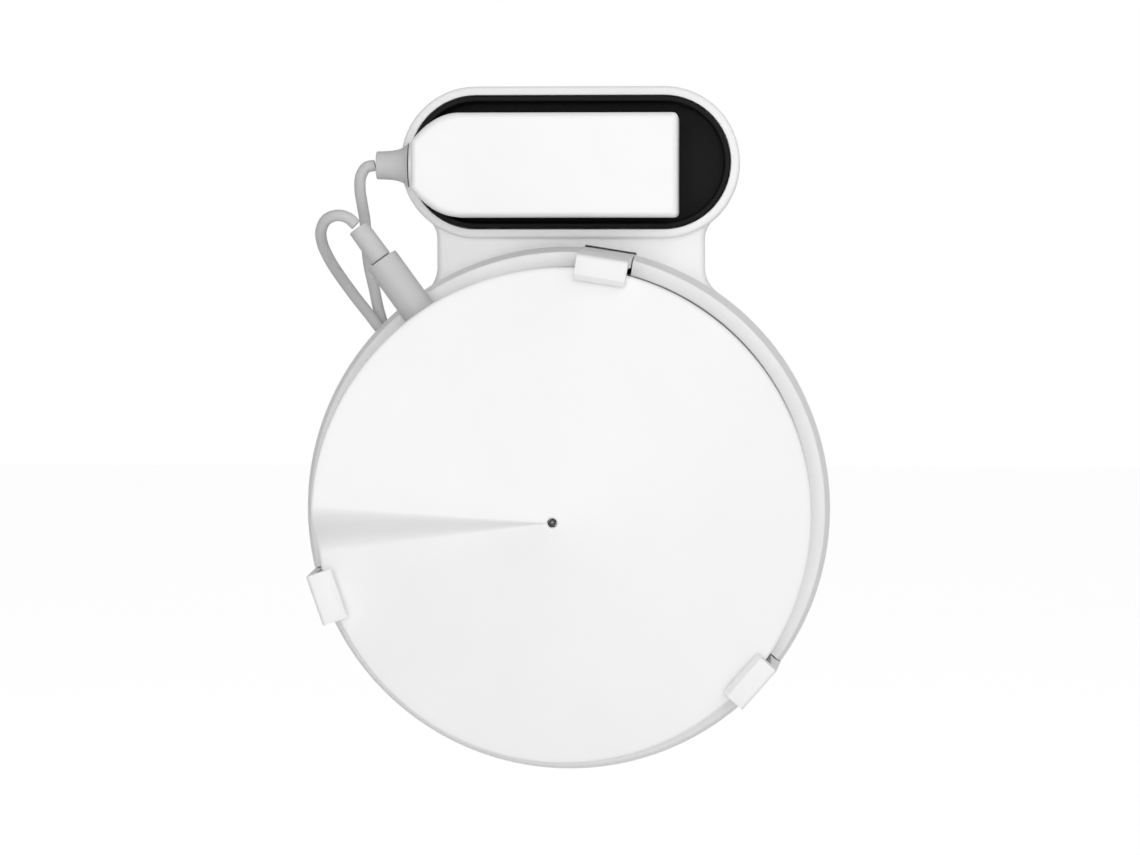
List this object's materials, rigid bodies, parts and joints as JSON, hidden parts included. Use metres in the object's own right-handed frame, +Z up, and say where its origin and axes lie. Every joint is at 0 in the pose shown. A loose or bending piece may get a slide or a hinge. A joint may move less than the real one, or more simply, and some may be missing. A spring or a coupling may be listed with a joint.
{
  "type": "wall-mounted mesh router",
  "caption": "Round mesh router clipped into a wall holder, with its power adapter seated in the holder's upper tray and the spare lead wound behind it.",
  "frame": {"origin": "where the router's axis meets the wall, on the holder's flat back", "axes": "+Z up the wall, +Y into the wall, -Y out of the wall towards the viewer, +X to the viewer's right"},
  "size_m": [0.1298, 0.0659, 0.1698],
  "materials": {
    "holder_plastic": "fine satin",
    "tray_black": "satin",
    "router_white": "fine satin",
    "port_grey": "satin",
    "board_green": "solder mask",
    "shield_steel": "tinned",
    "chip_black": "moulded",
    "spreader_aluminium": "die cast",
    "clear_lens": "clear",
    "contact_brass": "plated",
    "foot_rubber": "matt",
    "adapter_white": "semi gloss",
    "winding_yellow": "taped",
    "capacitor_blue": "sleeved",
    "cord_grey": "soft satin"
  },
  "bodies": {
    "holder": {"holder_body": "holder_plastic", "upper_housing": "holder_plastic", "outlet_tray": "tray_black", "cable_hub": "holder_plastic", "cord_adapter_run": "cord_grey", "cord_coil": "cord_grey", "cord_loop_run": "cord_grey"},
    "router": {"router_lid": "router_white", "router_lower_shell": "router_white", "main_board": "board_green", "processor_shield": "shield_steel", "radio_shield": "shield_steel", "processor_chip": "chip_black", "radio_chip": "chip_black", "heat_spreader": "spreader_aluminium", "status_led": "clear_lens", "light_pipe": "clear_lens", "antenna_1": "contact_brass", "antenna_2": "contact_brass", "antenna_3": "contact_brass", "antenna_4": "contact_brass", "case_screw_1": "shield_steel", "case_screw_2": "shield_steel", "case_screw_3": "shield_steel", "case_screw_4": "shield_steel", "rubber_foot_1": "foot_rubber", "rubber_foot_2": "foot_rubber", "rubber_foot_3": "foot_rubber", "rubber_foot_4": "foot_rubber", "port_bezel": "port_grey", "lan_jack_1": "shield_steel", "lan_jack_2": "shield_steel", "reset_switch": "chip_black", "power_socket": "chip_black", "cord_plug_run": "cord_grey"},
    "power_plug": {"plug_barrel": "contact_brass", "plug_body": "cord_grey", "plug_strain_relief": "cord_grey"},
    "reset_button": {"reset_button": "port_grey"},
    "clip_top": {"clip_arm_top": "holder_plastic"},
    "clip_left": {"clip_arm_left": "holder_plastic"},
    "clip_right": {"clip_arm_right": "holder_plastic"},
    "adapter": {"adapter_front_case": "adapter_white", "adapter_rear_case": "adapter_white", "adapter_blade_left": "contact_brass", "adapter_blade_right": "contact_brass", "adapter_board": "board_green", "adapter_transformer": "winding_yellow", "adapter_input_capacitor": "capacitor_blue", "adapter_output_capacitor": "capacitor_blue", "adapter_flange": "adapter_white", "adapter_strain_relief": "cord_grey"}
  },
  "joints": [
    {"name": "adapter_pull", "type": "slide", "parent": "holder", "child": "adapter", "axis": [0, -1, 0], "range_m": [0, 0.022], "deforming": ["cord_adapter_run"]},
    {"name": "router_release", "type": "slide", "parent": "holder", "child": "router", "axis": [0, -1, 0], "range_m": [0, 0.0045], "deforming": ["cord_loop_run"]},
    {"name": "clip_top_flex", "type": "hinge", "parent": "holder", "child": "clip_top", "pos_m": [0.00985, -0.005, 0.06222], "axis": [-0.9877, 0, 0.1564], "range_deg": [0, 6.4], "stiffness_Nm_per_rad": 0.9},
    {"name": "clip_left_flex", "type": "hinge", "parent": "holder", "child": "clip_left", "pos_m": [-0.05957, -0.005, -0.02051], "axis": [0.3256, 0, -0.9455], "range_deg": [0, 6.4], "stiffness_Nm_per_rad": 0.9},
    {"name": "clip_right_flex", "type": "hinge", "parent": "holder", "child": "clip_right", "pos_m": [0.04755, -0.005, -0.04133], "axis": [0.6561, 0, 0.7547], "range_deg": [0, 6.4], "stiffness_Nm_per_rad": 0.9},
    {"name": "plug_pull", "type": "slide", "parent": "router", "child": "power_plug", "axis": [-0.5878, 0, 0.809], "range_m": [0, 0.0085], "deforming": ["cord_plug_run"]},
    {"name": "reset_press", "type": "slide", "parent": "router", "child": "reset_button", "axis": [0.4617, 0, -0.887], "range_m": [0, 0.0006], "stiffness_N_per_m": 300, "springref_m": -0.0003}
  ],
  "couplings": [
    {"joint": "clip_top_flex", "follows": "router_release", "rad_per_m": 24.39},
    {"joint": "clip_left_flex", "follows": "router_release", "rad_per_m": 24.39},
    {"joint": "clip_right_flex", "follows": "router_release", "rad_per_m": 24.39}
  ]
}
